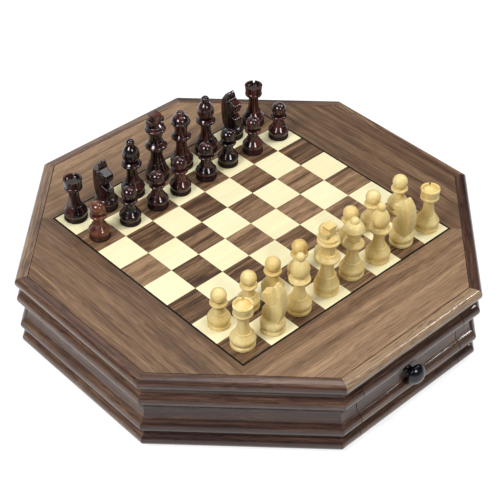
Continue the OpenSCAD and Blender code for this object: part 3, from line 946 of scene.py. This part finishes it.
def makeKingCross(look):
    outline = look["half"] + [(-x, z) for x, z in reversed(look["half"])]
    mesh = prism("king.cross", outline, -look["thick"] / 2, look["thick"] / 2, (0, 2))
    return linkObject("king.cross", bevelMesh(mesh, look["edge"]))


rookNotches = {"count": 4, "first": 45, "foot": 0.6, "mouth": 2.2, "z": 41.9, "top": 44.6, "inner": 5,
               "outer": 12}


def makeRookNotches(look):
    whole = bmesh.new()
    foot, mouth = look["foot"] / 2, look["mouth"] / 2
    outline = [(-foot, look["z"]), (foot, look["z"]), (mouth, look["top"]), (-mouth, look["top"])]
    for k in range(look["count"]):
        box = prism("notch", outline, look["inner"], look["outer"], (1, 2))
        box.transform(Matrix.Rotation(math.radians(look["first"] + 360 / look["count"] * k), 4, "Z"))
        whole.from_mesh(box)
    return linkObject("rook.notches", writeMesh(whole, "rook.notches"))


def manOutline(shape):
    points = turnedOutline(shape["parts"], shape["top"])
    if "dish" in shape:
        across, floor = shape["dish"]
        lip = Vector((across, shape["top"]))
        points = points[:-1] + [points[-2].lerp(lip, share) for share in (0.3, 1)]
        points += [Vector((across - 0.3, floor + 0.5)), Vector((across - 0.9, floor)), Vector((0, floor))]
    return points


# shift is how far apart two men may lie in their wood, in metres; tones shade single men
menLook = {"seed": 7, "segments": 64, "shift": 2, "toneSpread": 0.05, "tones": {
    "light": {"pawn_d": 0.22, "queen": -0.03}, "dark": {"pawn_a": 0.34, "king": 0.04, "rook_h": 0.08}}}
menFinishes = {"light": (boxwood, "light_boxwood"), "dark": (lacquer, "dark_lacquer")}


# where a man stands on the board
def manPlace(node):
    low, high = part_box(node)
    return ((low.x + high.x) / 2, (low.y + high.y) / 2, boardZ)


def randomWood(look):
    shift = [random.uniform(-look["shift"], look["shift"]) for _ in range(3)]
    return shift, random.uniform(-look["toneSpread"], look["toneSpread"])


def buildTurnedMen(look):
    random.seed(look["seed"])
    tools = {"king": makeKingCross(kingCross), "rook": makeRookNotches(rookNotches)}
    outlines = {kind: outlineObject(kind + ".outline", manOutline(shape), False)
                for kind, shape in menShapes.items()}
    trees = {None: turningTree, "UNION": joiningTree, "DIFFERENCE": cuttingTree}
    for node in sorted(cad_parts):
        colour, _, man = node.partition("_")
        kind = man.split("_")[0]
        if colour not in menFinishes or kind not in menShapes:
            continue
        material, slot = menFinishes[colour]
        shift, tone = randomWood(look)
        mesh = growMesh(node.replace("_", "."), trees[menShapes[kind].get("tooling")], {
            "Outline": outlines[kind], "Tool": tools.get(kind), "Segments": look["segments"],
            "Wood Shift": shift, "Tone": look["tones"][colour].get(man, tone), "Place": manPlace(node),
            "Material": material})
        rideAndReplace(mesh, node, [node])
    removeObjects(*tools.values(), *outlines.values())
    print("turned men set out")


buildTurnedMen(menLook)

# a horse's head from three outlines: its side (forward, up), its front (across, up) and from above
# (across, forward); the places of its carving are (across, forward, up)
knightLook = {
    "side": [(-6.5, 10), (-9, 16), (-10.6, 23), (-11, 30), (-10.2, 37), (-8.4, 43), (-5.8, 47.6),
             (-3.2, 50.4), (-1.2, 49.2), (-0.4, 45.6), (-0.6, 43), (8.2, 39.8), (9.6, 37.6), (9, 35),
             (6, 34.4), (7.6, 32.8), (6.8, 30.8), (3.2, 29.2), (1.4, 27), (8, 24), (8.6, 19.8), (8.6, 15),
             (7, 10)],
    "frontHalf": [(5.5, 10), (5.5, 42), (3.9, 51), (0.9, 51), (0, 47)],
    "planHalf": [(4.9, -12), (5.5, -9), (5.5, -1), (3.8, 10)],
    "socket": {"place": (6.6, 2.7, 41.1), "radius": 2.5, "depth": 4.2, "slope": (0, 0.52, 0.854)},
    "eye": {"place": (5.0, 3.2, 38.4), "radius": 0.95},
    "nostril": {"place": (4.35, 7.6, 36.4), "radius": 0.65},
    "jaw": {"place": (5.5, 1.2, 36.2), "radius": 6.6, "groove": 0.6},
    "foot": turnedBase(11.2, 11.6, 8.9) + [("taper", 10, 8.6, 12.2, 8.6)], "footTop": 12.2, "segments": 72,
    "voxel": 0.34, "smoothing": 5, "seed": 21, "shift": 2, "toneSpread": 0.04,
    "turns": {"light": {"b": 18, "g": 0}, "dark": {"b": 180, "g": 180}},
}


def mirrorOutline(half):
    return half + [(-across, up) for across, up in reversed(half) if across > 0]


def roundTool(name, radius, length, place, towards):
    work = bmesh.new()
    bmesh.ops.create_cone(work, cap_ends=True, segments=32, radius1=radius * mm, radius2=radius * mm,
                          depth=length * mm)
    turn = Vector(towards).to_track_quat("Z", "Y").to_matrix().to_4x4()
    bmesh.ops.transform(work, matrix=Matrix.Translation(Vector(place) * mm) @ turn, verts=work.verts)
    return writeMesh(work, name)


def ballTool(name, radius, place):
    work = bmesh.new()
    bmesh.ops.create_uvsphere(work, u_segments=24, v_segments=16, radius=radius * mm)
    bmesh.ops.translate(work, vec=Vector(place) * mm, verts=work.verts)
    return writeMesh(work, name)


def hoopTool(name, radius, thick, place, rounds=48, around=12):
    work = bmesh.new()
    rings = []
    for k in range(rounds):
        angle = 2 * math.pi * k / rounds
        out = Vector((0, math.cos(angle), math.sin(angle)))
        turns = [2 * math.pi * j / around for j in range(around)]
        rings.append([work.verts.new((Vector(place) + out * (radius + thick * math.cos(turn))
                                      + Vector((thick * math.sin(turn), 0, 0))) * mm) for turn in turns])
    for k in range(rounds):
        for j in range(around):
            a, b = rings[k], rings[(k + 1) % rounds]
            work.faces.new((a[j], b[j], b[(j + 1) % around], a[(j + 1) % around]))
    bmesh.ops.recalc_face_normals(work, faces=work.faces)
    return writeMesh(work, name)


def carveKnight(look):
    block = linkObject("knight.block", prism("knight.block", look["side"], -11, 11, (1, 2)))
    socket, eye, nostril, jaw = (look[name] for name in ("socket", "eye", "nostril", "jaw"))

    def beside(part, side):
        across, forward, up = part["place"]
        return (side * across, forward, up)

    cuts = []
    for side in (-1, 1):
        cuts += [roundTool("socket", socket["radius"], socket["depth"], beside(socket, side),
                           socket["slope"]),
                 ballTool("eye", eye["radius"], beside(eye, side)),
                 ballTool("nostril", nostril["radius"], beside(nostril, side)),
                 hoopTool("jaw", jaw["radius"], jaw["groove"], beside(jaw, side))]
    outline = outlineObject("knight.outline", turnedOutline(look["foot"], look["footTop"]), False)
    foot = growMesh("knight.foot", turningTree, {"Outline": outline, "Segments": look["segments"]})
    steps = [("INTERSECT", prism("front", mirrorOutline(look["frontHalf"]), -15, 15, (0, 2))),
             ("INTERSECT", prism("plan", mirrorOutline(look["planHalf"]), 0, 60, (0, 1)))]
    steps += [("DIFFERENCE", cut) for cut in cuts] + [("UNION", foot)]
    tools = []
    for operation, mesh in steps:
        tools.append(linkObject("tool", mesh))
        withSettings(block.modifiers.new("carve", "BOOLEAN"), operation=operation, solver="EXACT",
                     object=tools[-1])
    withSettings(block.modifiers.new("skin", "REMESH"), mode="VOXEL", voxel_size=look["voxel"] * mm)
    withSettings(block.modifiers.new("soften", "SMOOTH"), factor=0.5, iterations=look["smoothing"])
    carved = evaluatedMesh(block)
    removeObjects(*tools, block, outline)
    shadeSmooth(carved)
    return carved


# gives a mesh the attributes that the wood finishes read
def markGrain(mesh, shift, tone):
    mesh.attributes.new("grain", "FLOAT_VECTOR", "POINT")
    mesh.attributes.new("tone", "FLOAT", "POINT")
    places = [n for vertex in mesh.vertices for n in
              (vertex.co.z + shift[0], vertex.co.x + shift[1], vertex.co.y + shift[2])]
    mesh.attributes["grain"].data.foreach_set("vector", places)
    mesh.attributes["tone"].data.foreach_set("value", [tone] * len(mesh.vertices))


def buildKnights(look):
    random.seed(look["seed"])
    carved = carveKnight(look)
    for colour, (material, slot) in menFinishes.items():
        for file, degrees in look["turns"][colour].items():
            node = f"{colour}_knight_{file}"
            mesh = carved.copy()
            mesh.name = node.replace("_", ".")
            markGrain(mesh, *randomWood(look))
            turn = Matrix.Rotation(math.radians(degrees), 4, "Z")
            mesh.transform(Matrix.Translation(manPlace(node)) @ turn)
            mesh.materials.clear()
            mesh.materials.append(material)
            rideAndReplace(mesh, node, [node])
    print("knights carved:", len(carved.polygons), "faces each")


buildKnights(knightLook)

knobLook = {
    "outline": [(0, 0, 0), (4.7, 0, 0), (5, 0.3, 0), (5, 1.3, -0.6), (3.5, 3.6, -0.1), (3.7, 5.4, -0.35),
                (5.2, 6.4, 1.133), (9.93, 10.4, 0.12), (9.75, 11.59, 1.59), (0, 17.5, 0)],
    "seat": 195.5, "height": 39, "segments": 72, "step": 0.3,
}
# above is how far the cutter of the cross reaches over the head's seat
screwLook = {
    "outline": [(0, -1.75, 0), (2.2, -1.75, 0.15), (3.5, -1.3, 0.25), (3.95, -0.2, 0), (3.95, 0, 0),
                (2, 0, 0), (2, 15.2, 0), (1.2, 16.9, 0), (0, 17.3, 0)],
    "seat": 186.2, "cross": 2.3, "slot": 0.45, "head": 1.75, "deep": 1.0, "above": 2, "segments": 48,
    "step": 0.3,
}


def buildKnobsAndScrews(knob, screw):
    arm, half = screw["cross"], screw["slot"]
    corner = [(half, arm), (half, half), (arm, half), (arm, -half), (half, -half), (half, -arm)]
    outline = corner + [(-x, -y) for x, y in corner]
    deep = screw["deep"] - screw["head"]
    cross = linkObject("cross", prism("cross", outline, -screw["above"], deep, (0, 1)))
    helpers = {name: outlineObject(name + ".outline", drawOutline(look["outline"], look["step"]), False)
               for name, look in (("knob", knob), ("screw", screw))}
    for side, towards in (("front", -1), ("back", 1)):
        for name, look, tree, material, slot in (("knob", knob, turningTree, knobBlack, "knob_black"),
                                                 ("screw", screw, cuttingTree, screwSteel, "screw_steel")):
            mesh = growMesh(side + "Drawer." + name, tree, {
                "Outline": helpers[name], "Tool": cross, "Segments": look["segments"], "Material": material,
                "Turn": (-towards * math.pi / 2, 0, 0),
                "Place": (0, towards * look["seat"] * mm, knob["height"] * mm)})
            rideAndReplace(mesh, side + "_drawer", [side + "_drawer_" + name])
    removeObjects(cross, *helpers.values())
    print("knobs and screws fitted")


buildKnobsAndScrews(knobLook, screwLook)

feltLay = {"cell": 2.5, "nap": 0.12, "waves": (40, 60), "round": 0.5, "seed": 3}


# the lining is a laid sheet with a soft edge and a slightly uneven nap
def layFelt(side, look):
    node = side + "_drawer_felt"
    low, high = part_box(node)
    size, centre = high - low, (low + high) / 2
    across, along = (max(2, round(n / (look["cell"] * mm))) for n in (size.x, size.y))
    work = bmesh.new()
    bmesh.ops.create_grid(work, x_segments=across, y_segments=along, size=0.5)
    for vertex in work.verts:
        x, y = vertex.co.x, vertex.co.y
        onEdge = min(0.5 - abs(x), 0.5 - abs(y)) < 1e-4
        wave = Vector((x * look["waves"][0], y * look["waves"][1], look["seed"]))
        rough = mathutils.noise.noise(wave) * look["nap"] * mm
        drop = look["round"] * mm if onEdge else 0
        vertex.co = Vector((centre.x + x * size.x, centre.y + y * size.y,
                            high.z - look["nap"] * mm + min(0, rough) - drop))
    border = [edge for edge in work.edges if edge.is_boundary]
    skirt = bmesh.ops.extrude_edge_only(work, edges=border)["geom"]
    for part in skirt:
        if isinstance(part, bmesh.types.BMVert):
            part.co.z = low.z
    rim = [part for part in skirt if isinstance(part, bmesh.types.BMEdge) and part.is_boundary]
    bmesh.ops.contextual_create(work, geom=rim)
    bmesh.ops.recalc_face_normals(work, faces=work.faces)
    mesh = writeMesh(work, side + "Drawer.felt")
    shadeSmooth(mesh)
    mesh.materials.append(felt)
    lining = rideAndReplace(mesh, side + "_drawer", [node])


for side in ("front", "back"):
    layFelt(side, feltLay)

refinished = {
    "top_board": coreBoard, "inlay_line": blackLine, "border_veneers": borderWalnut,
    "bay_boards": plywoods[0], "front_drawer_sides": plywoods[0], "back_drawer_sides": plywoods[0],
    "partition": plywoods[1], "front_drawer_back": plywoods[1], "back_drawer_back": plywoods[1],
    "bottom_board": plywoods[2], "front_drawer_bottom": plywoods[2], "back_drawer_bottom": plywoods[2],
}
for node, material in refinished.items():
    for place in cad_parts[node].material_slots:
        place.material = material
print("carried-over parts refinished")
